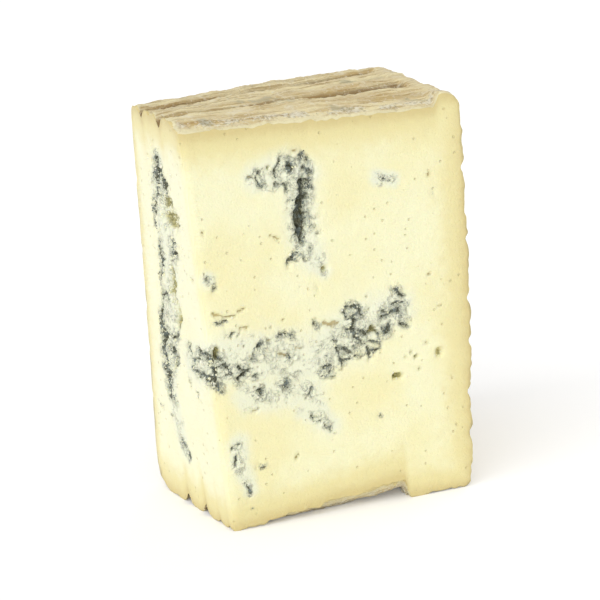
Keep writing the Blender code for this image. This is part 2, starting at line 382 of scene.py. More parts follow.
def ridge_profile(row, lines, side, steps, back_edge, crest_first, land):
    """Depth, height and crest level of a ridged surface at each row number.

    Between a crest and a groove the surface drops by a power of the way from one to the other,
    once past the flat land. Behind the last crest it runs level to the back edge.
    """
    lines = np.array(lines, float)
    depth = np.append(lines[:, side], back_edge)
    height = np.append(lines[:, side + 2], lines[-1, side + 2])
    starts = np.concatenate([[0], np.cumsum(steps)])
    gap = np.clip(np.searchsorted(starts, row, side="right") - 1, 0, len(steps) - 1)
    part = (row - starts[gap]) / np.diff(starts)[gap]
    to_crest = (gap % 2 == 0) != crest_first
    way = np.where(to_crest, 1 - part, part)
    drop = np.clip((way - land) / (1 - land), 0, 1) ** RIDGE_POWER
    crest = np.where(to_crest, gap + 1, gap)
    groove = np.where(to_crest, gap, gap + 1)
    crests = slice(0 if crest_first else 1, None, 2)
    depths = mix(depth[gap], depth[gap + 1], part)
    level = np.interp(depths, depth[crests], height[crests])
    return depths, mix(height[crest], height[groove], drop), level


def ridged_face(width, row, lines, steps, back_edges, border, crest_first, land):
    """Depth and height of a ridged face, and how deep in a groove it lies, from 0 to 1."""
    left, right = (
        ridge_profile(row, lines, side, steps, back_edges[side], crest_first, land) for side in (0, 1)
    )
    depth, height, level = (mix(a, b, width) for a, b in zip(left, right))
    height = mix(height, level, smooth(*border, width))
    return depth, height, np.clip(np.abs(level - height) / 2.4, 0, 1)


def underside_lift(width, depth):
    """How far the underside is lifted near the front cut."""
    at_cut = FRONT_LIFT * width / FOOT_BORDER[0] * np.clip(1 - depth / FRONT_LIFT_REACH, 0, 1)
    behind = FIRST_RIDGE_LIFT * smooth(*FIRST_RIDGE_RISE, width) * (1 - smooth(*FIRST_RIDGE_REACH, depth))
    return np.maximum(at_cut, behind) * (1 - smooth(*FOOT_BORDER, width))


def rounded(points, inset, radii, outward):
    """Points drawn in from square corners to elliptical ones.

    Each side's reach is the part of its radius that a point lies beyond the corner's centre. The
    point is drawn back until the reaches' length is that of the longest of them.
    """
    reach = np.clip(1 - inset / radii, 0, 1)
    length = np.maximum(np.linalg.norm(reach, axis=1), 1e-9)
    shrink = 1 - reach.max(axis=1) / length
    return points - outward * reach * radii * shrink[:, None]


def wedge_points(width, row, up):
    """The wedge's surface at parts of its width and height and at row numbers of its ridges.

    Returns the points in millimetres and how deep each lies in a groove of the top or the foot.
    """
    top_depth, top_height, top_groove = ridged_face(
        width, row, TOP_LINES, TOP_STEPS, (LEFT_DEPTH[1], RIGHT_DEPTH[1]), TOP_BORDER, False, 0
    )
    foot_depth, foot_height, foot_groove = ridged_face(
        width, row, FOOT_LINES, FOOT_STEPS, (LEFT_DEPTH[0], RIGHT_DEPTH[0]), FOOT_BORDER, True, FOOT_LAND
    )
    foot_height = np.maximum(foot_height, underside_lift(width, foot_depth))
    y = mix(foot_depth, top_depth, up)
    back = mix(*(mix(LEFT_DEPTH[end], RIGHT_DEPTH[end], width) for end in (0, 1)), up)
    left_x = -LEFT_LEAN * up - y * mix(*LEFT_SLOPE, up)
    right_x = FRONT_WIDTH + RIM_SLOPE * y + RIM_BULGE * np.sin(np.pi * up)
    z = up * HEIGHT + (top_height - HEIGHT) * up**12 + foot_height * (1 - up) ** 12
    x = mix(left_x, right_x, width)
    points = np.stack([x, y + FRONT_LEAN * up * (1 - y / back), z], axis=1)

    rim_round = mix(CORNER_ROUND, RIM_ROUND, smooth(0, CORNER_REACH, back - y))
    back_round = mix(*BACK_ROUND, smooth(0.2, 0.8, up))
    back_round = mix(CORNER_ROUND, back_round, smooth(0, CORNER_REACH, right_x - x))
    foot_round = mix(*FOOT_ROUND, smooth(0, FOOT_ROUND_REACH, y))
    vertical_round = np.where(up > 0.5, TOP_ROUND, foot_round)
    radii = np.stack([rim_round, back_round, vertical_round], axis=1)
    inset = np.stack([right_x - x, back - y, np.minimum(up, 1 - up) * HEIGHT], axis=1)
    outward = np.stack([np.ones_like(x), np.ones_like(x), np.where(up > 0.5, 1.0, -1.0)], axis=1)
    points = rounded(points, inset, radii, outward)

    # The edge between the two cuts is worn round.
    knife_edge = np.stack([x - left_x, y], axis=1)
    wear_and_shade = np.full_like(knife_edge, 2.4)
    points[:, :2] = rounded(points[:, :2], knife_edge, wear_and_shade, np.array([-1.0, -1.0]))
    near_edge = np.clip(1 - knife_edge / 2.4, 0, 1).min(axis=1) ** 2
    points[:, :2] -= 0.35 * near_edge[:, None]

    marks = np.clip(1 - np.abs(up[:, None] - HOOPS) / HOOP_HALF_WIDTH, 0, 1).max(axis=1)
    marks = smooth(0, 1, marks) * HOOP_DEPTH
    points[:, 0] -= marks * (width == 1)
    points[:, 1] -= marks * (row == sum(TOP_STEPS))
    return points, np.where(up > 0.5, top_groove, foot_groove)


def on_cut(cut, along, height):
    """Places on the front or the left cut, from the way along it and the height."""
    along = np.asarray(along, float)
    height = np.asarray(height, float)
    up = height / HEIGHT
    if cut == "front":
        return np.stack([along, FRONT_LEAN * up, height], axis=-1)
    return np.stack([-LEFT_LEAN * up - along * mix(*LEFT_SLOPE, up), along, height], axis=-1)


def line_gaps(points, lines):
    """For each line, every point's distance from it over the line's half width there."""
    for cut, *stops in lines:
        stops = np.array(stops, float)
        stops = np.concatenate([stops, stops[-1:]])
        places = on_cut(cut, stops[:, 0], stops[:, 1])
        nearest = np.full(len(points), np.inf)
        for start, end, half, half_end in zip(places[:-1], places[1:], stops[:-1, 2], stops[1:, 2]):
            run = end - start
            part = np.clip((points - start) @ run / max(run @ run, 1e-9), 0, 1)
            gap = np.linalg.norm(points - start - part[:, None] * run, axis=1)
            nearest = np.minimum(nearest, gap / mix(half, half_end, part))
        yield nearest


def wobble(points, is_left):
    """How far curds push veins and cracks about in the plane of their cut, in millimetres."""
    pushed = [
        0.8 * noise(points, 2.8, 41 + axis) + 0.45 * noise(points, 1.2, 51 + axis) for axis in range(3)
    ]
    pushed = np.stack(pushed, axis=1)
    pushed[:, 0] *= ~is_left
    pushed[:, 1] *= is_left
    return pushed


def cover(points, lines, low=0.3, high=1.4):
    """1 on the lines, fading to 0 between these multiples of their half widths, with ragged edges."""
    ragged = 0.6 * noise(points, 1.6, 5) + 0.4 * noise(points, 0.7, 6)
    return np.max([1 - smooth(low, high, gap + ragged) for gap in line_gaps(points, lines)], axis=0)


def soft_cover(points, lines, times=1.0):
    """A bell curve of the distance over this many half widths, the strongest of the lines."""
    return np.max([np.exp(-((gap / times) ** 2)) for gap in line_gaps(points, lines)], axis=0)


def cut_hollows(points, marks):
    """How deep the cuts are hollowed, in millimetres."""
    creases = (1 - np.abs(noise(points, 2.1, 11))) ** 5 + 0.6 * (1 - np.abs(noise(points, 1.2, 12))) ** 5
    flaky = marks["dust"] * (1.45 * creases - 0.55) + 0.12 * marks["halo"] * noise(points, 1.2, 15)
    waves = 0.10 * noise(points, (9, 9, 5), 13) + 0.05 * noise(points, (4, 4, 2), 14)
    holes = 0.55 * marks["mould"] + 2.4 * marks["channel"] + 2.6 * marks["olive"] + 1.0 * marks["crack_and_shade"]
    return holes + flaky + waves


def cut_marks(points, is_left):
    """What the knife cuts show at each point: each kind of mark, from 0 to 1."""
    bent = points + wobble(points, is_left)
    return {
        "mould": cover(bent, VEINS),
        "channel": cover(points, CHANNEL, 0.6, 1.3),
        "olive": np.maximum(cover(points, OLIVE_HOLES, 0.2, 1.5), soft_cover(points, OLIVE_HOLES, 0.9)),
        "crack_and_shade": cover(bent, CRACKS),
        "halo": soft_cover(points, HALOS),
        "dust": soft_cover(bent, VEINS + CHANNEL, 2.6),
    }


def box_lattice(gaps):
    """The mesh points on the six sides of a box of lines, as line numbers, and its outward faces."""
    inside = np.zeros(np.array(gaps) + 1, bool)
    inside[1:-1, 1:-1, 1:-1] = True
    lines = np.argwhere(~inside)
    number = np.zeros(inside.shape, int)
    number[tuple(lines.T)] = np.arange(len(lines))
    sheets = []
    for axis in range(3):
        for end in (0, -1):
            grid = np.take(number, end, axis=axis)
            quads = np.stack([grid[:-1, :-1], grid[1:, :-1], grid[1:, 1:], grid[:-1, 1:]], axis=-1)
            quads = quads.reshape(-1, 4)
            # Along depth the two lines left over turn the other way round.
            turned = (end == 0) != (axis == 1)
            sheets.append(quads[:, ::-1] if turned else quads)
    return lines, sheets


def point_normals(points, quads):
    """Unit normals at the points: the sum of the cross products of the faces' diagonals."""
    corners = points[quads]
    across = np.cross(corners[:, 2] - corners[:, 0], corners[:, 3] - corners[:, 1])
    total = np.zeros_like(points)
    for corner in range(4):
        np.add.at(total, quads[:, corner], across)
    return total / np.maximum(np.linalg.norm(total, axis=1, keepdims=True), 1e-12)


def lines_of_ends(points, lines):
    """Heights of the foot and of the top, for every width line and depth line."""
    heights = np.zeros((2, BODY_GAPS[0] + 1, BODY_GAPS[1] + 1))
    for end, layer in enumerate((0, BODY_GAPS[2])):
        there = lines[:, 2] == layer
        heights[end][lines[there, 0], lines[there, 1]] = points[there, 2]
    return heights


def rind_relief(points, ridge_place):
    """How far the rind stands proud, in millimetres: long wrinkles along the ridges, and grain."""
    wrinkles = 0.42 * noise(ridge_place, (16, 2.0, 7), 21) + 0.25 * noise(ridge_place, (8, 1.1, 3), 22)
    lumps = 0.35 * noise(points, (6, 4, 5), 25)
    grains = 0.20 * noise(points, 1.2, 23) + 0.12 * noise(points, 0.7, 24)
    return wrinkles + lumps + grains


def ragged_lip(points):
    """How far the lips between knife and rind stand out, in millimetres, from crumbling and tearing."""
    return 0.55 * noise(points, 3.4, 26) + 0.50 * noise(points, 1.6, 27)


def to_row_frame(points):
    """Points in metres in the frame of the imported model, from millimetres in the wedge's own."""
    back_left = LEFT_LEAN + LEFT_DEPTH[1] * LEFT_SLOPE[1]
    corner = np.array([CAD_BOX[0].x / MM + back_left, CAD_BOX[0].y / MM, 0])
    return (points + corner) * MM


def new_piece(name, points, faces, materials, face_materials=None, attributes=None):
    """An object at the origin with a smooth mesh, riding on the part's one body."""
    mesh = bpy.data.meshes.new(name)
    mesh.from_pydata(to_row_frame(points), [], faces)
    for material in materials:
        mesh.materials.append(material)
    if face_materials is not None:
        mesh.polygons.foreach_set("material_index", face_materials.astype(np.int32))
    for key, values in (attributes or {}).items():
        if values.ndim == 2:
            attribute = mesh.attributes.new(key, "FLOAT_VECTOR", "POINT")
            attribute.data.foreach_set("vector", values.astype(np.float32).ravel())
            continue
        attribute = mesh.attributes.new(key, "FLOAT", "POINT")
        attribute.data.foreach_set("value", values.astype(np.float32))
    mesh.shade_smooth()
    mesh.update()
    piece = bpy.data.objects.new(name, mesh)
    bpy.context.scene.collection.objects.link(piece)
    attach(piece, "root")
    return piece


def body_mesh():
    """The body's points, faces, material of each face and marks of each point."""
    lines, sheets = box_lattice(BODY_GAPS)
    width = graded(BODY_GAPS[0], (0, 0.76, 1.8), (0, 0.035, 3.0))[lines[:, 0]]
    row = graded(BODY_GAPS[1], (0, 0.05, 2.0))[lines[:, 1]] * sum(TOP_STEPS)
    up = graded(
        BODY_GAPS[2], (0, 0.06, 2), (0.27, 0.56, 1.7), (0.60, 0.91, 1.4), (0.955, 1, 2.5)
    )[lines[:, 2]]
    points, groove = wedge_points(width, row, up)
    quads = np.concatenate(sheets)
    normals = point_normals(points, quads)

    front, left = lines[:, 1] == 0, lines[:, 0] == 0
    cut = front | left
    on_cuts = cut_marks(points[cut], left[cut] & (points[cut, 1] > 1.5))
    marks = {name: np.zeros(len(points)) for name in on_cuts}
    for name, values in on_cuts.items():
        marks[name][cut] = values
    depth = np.zeros(len(points))
    depth[cut] = cut_hollows(points[cut], on_cuts)

    from_front = points[:, 1] - FRONT_LEAN * up
    left_x = -LEFT_LEAN * up - points[:, 1] * mix(*LEFT_SLOPE, up)
    from_left = points[:, 0] - left_x
    to_knife = np.minimum(from_front, from_left)
    lip = np.exp(-np.maximum(to_knife, 0) / 2.2)
    ridge_place = np.stack([points[:, 0], row * 2.6, points[:, 2]], axis=1)
    ragged = ragged_lip(points)
    relief = rind_relief(points, ridge_place) + ragged * lip
    moved = points + normals * np.where(cut, -depth, relief)[:, None]

    # How near the rind is, for points on the cuts: the shortest way to the top, rim, back or foot.
    ends = lines_of_ends(points, lines)
    to_top = ends[1][lines[:, 0], lines[:, 1]] - points[:, 2]
    to_foot = points[:, 2] - ends[0][lines[:, 0], lines[:, 1]]
    to_rim = FRONT_WIDTH + RIM_SLOPE * points[:, 1] - points[:, 0]
    to_back = mix(LEFT_DEPTH[0], LEFT_DEPTH[1], up) - points[:, 1]
    to_rind = np.minimum(to_top, to_foot)
    to_rind = np.minimum(to_rind, np.where(front, to_rim + 1.5, np.inf))
    to_rind = np.minimum(to_rind, np.where(left, to_back * 1.6 + 4, np.inf))
    to_lips = np.maximum(np.stack([to_rim, to_top, to_foot], axis=1), 0)
    torn = (ragged * cut)[:, None] * np.exp(-to_lips / 1.2)
    moved[:, 0] += torn[:, 0]
    moved[:, 2] += torn[:, 1] - torn[:, 2]
    moved[:, 2] = np.maximum(moved[:, 2], 0)

    marks["edge"] = np.exp(-np.maximum(to_rind, 0) / 6)
    marks["groove"] = groove
    marks["lip"] = lip
    marks["from_cut"] = np.clip(from_front / 30, 0, 1)
    # Painted light: the left cut is painted paler than the front cut, from a few millimetres behind the
    # edge between them.
    marks["left_cut_painted_light"] = smooth(1.0, 4.0, from_front) * np.exp(-np.maximum(from_left, 0) / 2)
    marks["ridge_place"] = ridge_place * MM

    sides = np.repeat(np.arange(6), [len(sheet) for sheet in sheets])
    is_cut = (sides == 0) | (sides == 2)
    middle = points[quads].mean(axis=1)
    # In the grooves the rind runs right to the knife's edge, carrying its painted groove shade there.
    thin_lip = (0.8 + 0.7 * noise(middle, 1.5, 31)) * (1 - groove[quads].mean(axis=1))
    rolled = to_knife[quads].mean(axis=1) < thin_lip
    return moved, quads, np.where(is_cut | rolled, 0, 1), marks


MATH = "ShaderNodeMath"
NOISE = "ShaderNodeTexNoise"
CELLS = "ShaderNodeTexVoronoi"
RANGE = "ShaderNodeMapRange"
MIX = "ShaderNodeMix"
EASED = {"interpolation_type": "SMOOTHSTEP"}
TIMES_PLUS = {"operation": "MULTIPLY_ADD"}


def node(tree, kind, inputs=(), out=0, **settings):
    """Adds a node with its settings and gives one of its outputs.

    Inputs go by name or number, or in order. One that is a socket is linked, and a value is set.
    """
    made = tree.nodes.new(kind)
    for name, value in settings.items():
        setattr(made, name, value)
    for key, value in inputs.items() if isinstance(inputs, dict) else enumerate(inputs):
        if isinstance(value, bpy.types.NodeSocket):
            tree.links.new(value, made.inputs[key])
        else:
            made.inputs[key].default_value = value
    return made.outputs[out] if made.outputs else None


def new_material(name, marks=()):
    """An empty node material, its node tree, its object coordinates and the mesh's marks."""
    material = bpy.data.materials.new(name)
    material.use_nodes = True
    tree = material.node_tree
    tree.nodes.clear()
    place = node(tree, "ShaderNodeTexCoord", out="Object")
    marks = [node(tree, "ShaderNodeAttribute", out="Fac", attribute_name=mark) for mark in marks]
    return material, tree, place, marks


def painted(tree, colour, layers):
    """A colour with others laid over it in turn.

    A layer is the value that its cover follows, the limits between which the cover grows by an S
    curve, the most that it covers, and its colour. Without limits the value itself is its cover.
    """
    for value, limits, most, tint in layers:
        if limits:
            inputs = {"Value": value, "From Min": limits[0], "From Max": limits[1], "To Max": most}
            cover = node(tree, RANGE, inputs, **EASED)
        else:
            cover = node(tree, MATH, (value, most), operation="MULTIPLY")
        colour = node(tree, MIX, {0: cover, 6: colour, 7: tint}, out=2, data_type="RGBA")
    return colour


def paste_material(look):
    """Blue cheese paste: moist curd cut by a knife. Cream in the middle, yellower near the rind.

    Mould grows in the gaps between curds, so it shows as fine dark seams and speckles with a pale
    blue-green tint round them. The cut is smooth and slightly greasy, and lets a little light in.
    """
    names = ("halo", "edge", "left_cut_painted_light", "dust", "crack_and_shade", "mould", "channel", "olive")
    material, tree, place, marks = new_material("blue_cheese_paste", names)
    halo, edge, left_cut_painted_light, dust, crack_and_shade, mould, channel, olive = marks

    # Noises by their largest grains in millimetres, detail, roughness and distortion.
    noises = (
        (3.2, 3, 0.55, 0),
        (0.7, 3, 0.55, 0),
        (22, 2, 0.55, 0),
        (2.2, 3, 0.6, 1.2),
        (2.9, 2, 0.55, 0),
        (0.6, 4, 0.7, 0),
        (2.6, 2, 0.55, 0),
    )
    grown = []
    for size, detail, roughness, distortion in noises:
        inputs = {"Vector": place, "Scale": 1 / (size * MM), "Detail": detail}
        inputs |= {"Roughness": roughness, "Distortion": distortion}
        grown.append(node(tree, NOISE, inputs))
    mottled, fine, cloudy, wandering, patchy, speck, bluish = grown
    mottling, grit, drift, speckling = (
        node(tree, MATH, (grains, 0.5), operation="SUBTRACT")
        for grains in (mottled, fine, wandering, speck)
    )

    # Paste ripens towards the rind, and curds in the mould's reach are whiter and cooler.
    ripe = node(tree, MATH, (mottling, 0.25, edge), **TIMES_PLUS)
    tint = node(tree, MATH, (mottling, 0.6, halo), **TIMES_PLUS)

    # Pits 0.5 mm across where curds did not quite close, every few millimetres.
    cells = node(tree, CELLS, {"Vector": place, "Scale": 1 / (2.7 * MM)}).node.outputs
    chance = node(tree, "ShaderNodeSeparateColor", (cells["Color"],))
    chosen = node(tree, RANGE, (chance, 0.45, 0.47), **EASED)
    pit = node(tree, RANGE, (cells["Distance"], 0.06, 0.17, 1, 0), **EASED)
    pit = node(tree, MATH, (pit, chosen), operation="MULTIPLY")

    # Wisps of mould in seams between curds: where a wandering noise crosses its middle value.
    crossing = node(tree, MATH, (drift,), operation="ABSOLUTE")
    wisp = node(tree, RANGE, (crossing, 0.004, 0.035, 1, 0), **EASED)
    zone = node(tree, MATH, (halo, 0.45, patchy), **TIMES_PLUS)
    zone = node(tree, MATH, (dust, 0.45, zone), **TIMES_PLUS)
    zone = node(tree, RANGE, (zone, 0.84, 1.12), **EASED)
    wisp = node(tree, MATH, (wisp, zone), operation="MULTIPLY")

    # Tan cracks, darkest in their middle: partly the tan of the paste there, partly painted shade in the
    # crevices.
    crack_and_shade = node(tree, MATH, (grit, 0.9, crack_and_shade), **TIMES_PLUS)

    # Mould: speckles 0.4 mm across of blue-grey and black-green, and paler blue dust round them.
    haze = node(tree, MATH, (speckling, 1.8, dust), **TIMES_PLUS)
    veins = node(tree, MATH, (mould, channel), operation="MAXIMUM")
    veins = node(tree, MATH, (speckling, 1.9, veins), **TIMES_PLUS)
    veins = node(tree, MATH, (wisp, 0.35, veins), **TIMES_PLUS)
    dark = node(tree, RANGE, (veins, 0.52, 1.05, 0, 0.95), **EASED)
    hue = painted(
        tree,
        linear("57563e"),
        (
            (bluish, (0.48, 0.62), 1, (*look.mould,)),
            (channel, None, 1, linear("5a583d")),
            (speck, (0.50, 0.66), 0.6, linear("a3a693")),
        ),
    )

    # Olive lining of the open holes.
    olive = node(tree, MATH, (grit, 0.7, olive), **TIMES_PLUS)
    lining = painted(tree, linear("8f8a58"), ((fine, (0.40, 0.60), 1, linear("d3cb92")),))

    colour = painted(
        tree,
        (*look.cream,),
        (
            (cloudy, (0.35, 0.7), 1, linear("f6efbc")),
            # painted light: the left cut paler than the front
            (left_cut_painted_light, None, 0.6, linear("fdfbdd")),
            (ripe, (0.06, 0.45), 1, linear("eee3aa")),
            (ripe, (0.40, 0.95), 1, linear("dccb90")),
            (tint, (0.15, 0.9), 0.85, linear("eff1d8")),
            (mottled, (0.60, 0.80), 0.30, linear("f1e7b4")),
            (pit, None, 0.35, linear("dcca8c")),
            (wisp, None, 0.65, linear("8f968c")),
            # partly painted shade: dark tan in the cracks
            (crack_and_shade, (0.45, 1.0), 0.7, linear("b9a060")),
            (haze, (0.45, 1.15), 0.75, linear("b3b8a8")),
            (dark, None, 1, hue),
            (olive, (0.30, 0.75), 0.95, lining),
        ),
    )

    # Rounded curds 1.7 mm across stand out near the mould.
    inputs = {"Vector": place, "Scale": 1 / (1.7 * MM)}
    curds = node(tree, CELLS, inputs, out="Distance", feature="SMOOTH_F1")
    curds = node(tree, RANGE, (curds, 0.15, 0.75, 1.6, 0), **EASED)
    sunk = node(tree, MATH, (dark, speck), operation="MULTIPLY")
    height = node(tree, MATH, (curds, zone), operation="MULTIPLY")
    for value, times in ((mottled, 0.5), (fine, 0.5), (wisp, -0.8), (pit, -0.9), (sunk, -1)):
        height = node(tree, MATH, (value, times, height), **TIMES_PLUS)
    inputs = {"Strength": 0.7, "Distance": 0.0007, "Height": height}
    surface = node(
        tree,
        "ShaderNodeBsdfPrincipled",
        {
            "Base Color": colour,
            "Roughness": node(tree, RANGE, (veins, 0.3, 0.8, 0.40, 0.8), **EASED),
            "Normal": node(tree, "ShaderNodeBump", inputs),
            "IOR": 1.45,
            "Specular IOR Level": 0.35,
            "Subsurface Weight": 0.12,
            "Subsurface Radius": (1.0, 0.75, 0.35),
            "Subsurface Scale": 0.0015,
        },
    )
    node(tree, "ShaderNodeOutputMaterial", (surface,))
    return material


def rind_material(look):
    """Natural rind: dry, brushed skin with a bloom of white and grey mould over tan.

    It is matt and rough. Its streaks run along the ridges, its grooves keep more grey mould and are
    painted darker as painted shade, its crests are painted paler as painted highlight, and it fades
    to paste at the lips that the knife left.
    """
    names = ("lip", "groove", "from_cut")
    material, tree, place, (lip, groove, from_cut) = new_material("natural_rind", names)
    along = node(tree, "ShaderNodeAttribute", out="Vector", attribute_name="ridge_place")
    along = node(tree, "ShaderNodeMapping", {"Vector": along, "Scale": (0.06, 1.0, 0.6)})
    beside = node(tree, "ShaderNodeMapping", {"Vector": place, "Location": (3, 5, 7)})

    # Noises by where they are read, largest grains in millimetres, detail and roughness.
    noises = (
        (along, 2.6, 3, 0.6),
        (along, 0.9, 2, 0.55),
        (place, 7, 3, 0.55),
        (place, 0.9, 4, 0.7),
        (beside, 1.0, 3, 0.65),
        (beside, 5, 4, 0.65),
        (place, 9, 3, 0.55),
    )
    grown = []
    for where, size, detail, roughness in noises:
        inputs = {"Vector": where, "Scale": 1 / (size * MM), "Detail": detail, "Roughness": roughness}
        grown.append(node(tree, NOISE, inputs))
    streaks, lines, blotches, pepper, salt, chalk, bruises = grown
    streaking, grit = (
        node(tree, MATH, (grains, 0.5), operation="SUBTRACT") for grains in (streaks, pepper)
    )

    # Grooves are painted dark brown as painted shade and crests pale as painted highlight, except on the
    # first slope behind the front cut.
    first_slope = node(tree, RANGE, (from_cut, 0.30, 0.42), **EASED)
    wear_and_shade = node(tree, MATH, (streaking, 0.6, groove), **TIMES_PLUS)
    groove_shade = node(tree, RANGE, (wear_and_shade, 0.22, 0.75, 0, 0.85), **EASED)
    groove_shade = node(tree, MATH, (groove_shade, first_slope), operation="MULTIPLY")

    # Grey mould is thickest in a band just behind the lip. The grooves get a little more grey too, partly
    # grey mould and partly painted shade.
    behind = node(tree, MATH, (from_cut, 0.13), operation="SUBTRACT")
    behind = node(tree, MATH, (behind,), operation="ABSOLUTE")
    band = node(tree, RANGE, (behind, 0.02, 0.10, 0.22, 0), **EASED)
    patches = node(tree, RANGE, (blotches, 0.35, 0.60), **EASED)
    band = node(tree, MATH, (band, patches), operation="MULTIPLY")
    deep = node(tree, MATH, (groove, first_slope), operation="MULTIPLY")
    peppered = node(tree, MATH, (pepper, band), operation="ADD")
    peppered = node(tree, MATH, (deep, 0.08, peppered), **TIMES_PLUS)
    salted = node(tree, MATH, (band, 0.8, salt), **TIMES_PLUS)
    # The fade to paste at the lips stops in the grooves, so the painted groove shade reaches the lip.
    faded = node(tree, MATH, (grit, 0.8, lip), **TIMES_PLUS)
    faded = node(tree, MATH, (faded, deep), operation="SUBTRACT")

    colour = painted(
        tree,
        linear("cdb27a"),
        (
            (streaks, (0.36, 0.62), 1, linear("f2e5b8")),
            (blotches, (0.46, 0.66), 0.6, (*look.rind,)),
            (lines, (0.52, 0.64), 0.65, linear("b08f56")),
            # painted shade: dark brown in the grooves
            (groove_shade, None, 1, linear("84693f")),
            # painted highlight: pale on the crests
            (wear_and_shade, (0.10, -0.12), 0.6, linear("f6ecc6")),
            (peppered, (0.58, 0.74), 0.6, linear("95886a")),
            (salted, (0.56, 0.72), 0.75, linear("f4eed8")),
            (chalk, (0.54, 0.68), 0.6, linear("efe6cc")),
            (bruises, (0.60, 0.70), 0.45, linear("a3a28c")),
            (faded, (0.30, 0.75), 0.9, linear("f5ecc2")),
        ),
    )

    height = streaks
    for value, times in ((lines, 0.8), (pepper, 0.7), (salt, 0.5)):
        height = node(tree, MATH, (value, times, height), **TIMES_PLUS)
    inputs = {"Strength": 0.9, "Distance": 0.0010, "Height": height}
    surface = node(
        tree,
        "ShaderNodeBsdfPrincipled",
        {
            "Base Color": colour,
            "Roughness": node(tree, RANGE, (pepper, 0.3, 0.7, 0.75, 0.95), **EASED),
            "Normal": node(tree, "ShaderNodeBump", inputs),
            "IOR": 1.45,
            "Specular IOR Level": 0.25,
        },
    )
    node(tree, "ShaderNodeOutputMaterial", (surface,))
    return material


def mould_material(look):
    """Blue mould: dry powdery grains of spores, from blue-grey to black-green, with no gloss."""
    material, tree, place, _ = new_material("blue_mould")
    inputs = {"Vector": place, "Detail": 2, "Roughness": 0.55}
    broad, fine = (node(tree, NOISE, {**inputs, "Scale": 1 / (size * MM)}) for size in (1.6, 0.5))
    layers = (
        (broad, (0.40, 0.60), 1, linear("63624c")),
        (fine, (0.50, 0.68), 0.6, linear("9aa5a2")),
    )
    colour = painted(tree, (*look.mould,), layers)
    inputs = {"Base Color": colour, "Roughness": 0.95, "Specular IOR Level": 0.15}
    node(tree, "ShaderNodeOutputMaterial", (node(tree, "ShaderNodeBsdfPrincipled", inputs),))
    return material


def crumb_material(look):
    """Crumbs of paste: the cream of the cut, a little drier and so duller."""
    material, tree, place, _ = new_material("paste_crumbs")
    inputs = {"Vector": place, "Scale": 1 / (2.5 * MM), "Detail": 2, "Roughness": 0.55}
    broad = node(tree, NOISE, inputs)
    surface = node(
        tree,
        "ShaderNodeBsdfPrincipled",
        {
            "Base Color": painted(tree, (*look.cream,), ((broad, (0.4, 0.6), 1, linear("f3f1da")),)),
            "Roughness": 0.6,
            "Specular IOR Level": 0.3,
            "Subsurface Weight": 0.15,
            "Subsurface Radius": (1.0, 0.75, 0.35),
            "Subsurface Scale": 0.002,
        },
    )
    node(tree, "ShaderNodeOutputMaterial", (surface,))
    return material


def pebbles(centres, radii, rng):
    """Small lumps: spheres of six meridians and three rings, each stretched and dented at random.

    A point lies at its centre plus its direction from latitude and longitude, times the radius,
    times that lump's three stretches, times the point's own dent.
    """
    turns = np.arange(6) * np.pi / 3
    tilts = np.pi * np.array([0.25, 0.5, 0.75])
    tilt, turn = (grid.ravel() for grid in np.meshgrid(tilts, turns, indexing="ij"))
    ball = np.stack([np.sin(tilt) * np.cos(turn), np.sin(tilt) * np.sin(turn), np.cos(tilt)], axis=1)
    ball = np.concatenate([[[0, 0, 1]], ball, [[0, 0, -1]]])
    ring = np.arange(6)
    after = (ring + 1) % 6
    faces = [np.stack([0 * ring, 1 + ring, 1 + after], axis=1)]
    for start in (1, 7):
        low, high = start + ring, start + 6 + ring
        low_after, high_after = start + after, start + 6 + after
        faces += [np.stack([low, high, high_after], axis=1), np.stack([low, high_after, low_after], axis=1)]
    faces.append(np.stack([13 + ring, 0 * ring + 19, 13 + after], axis=1))
    faces = np.concatenate(faces)

    count = len(centres)
    stretch = rng.uniform(0.65, 1.35, (count, 1, 3))
    dent = rng.uniform(0.8, 1.15, (count, len(ball), 1))
    points = centres[:, None] + ball[None] * stretch * dent * radii[:, None, None]
    faces = faces[None] + (np.arange(count) * len(ball))[:, None, None]
    return points.reshape(-1, 3), faces.reshape(-1, 3)


def along_lines(lines, count, spread, rng):
    """Random places on and near the lines, as many on each stretch as its area asks for."""
    stretches = []
    for cut, *stops in lines:
        stops = np.array(stops, float)
        stops = np.concatenate([stops, stops[-1:] + (0.01, 0, 0)])
        stretches += [(cut, *a, *b) for a, b in zip(stops[:-1], stops[1:])]
    numbers = np.array([stretch[1:] for stretch in stretches])
    runs = np.hypot(numbers[:, 3] - numbers[:, 0], numbers[:, 4] - numbers[:, 1])
    wide = (numbers[:, 2] + numbers[:, 5]) / 2
    share = (runs + 2 * wide) * wide**2
    picked = rng.choice(len(numbers), count, p=share / share.sum())
    part = rng.uniform(-0.05, 1.05, count)
    half = mix(numbers[picked, 2], numbers[picked, 5], np.clip(part, 0, 1))
    along = mix(numbers[picked, 0], numbers[picked, 3], part) + rng.normal(0, spread, count) * half
    height = mix(numbers[picked, 1], numbers[picked, 4], part) + rng.normal(0, spread, count) * half
    is_left = np.array([stretch[0] == "left" for stretch in stretches])[picked]
    places = np.where(is_left[:, None], on_cut("left", along, height), on_cut("front", along, height))
    return places - wobble(places, is_left), is_left


def on_surface(places, is_left, radii, sunk):
    """Places moved to the hollowed surface, with each lump sunk by a part of its radius."""
    depth = cut_hollows(places, cut_marks(places, is_left)) + radii * sunk
    inward = np.where(is_left[:, None], (1.0, 0.0, 0.0), (0.0, 1.0, 0.0))
    return places + inward * depth[:, None]


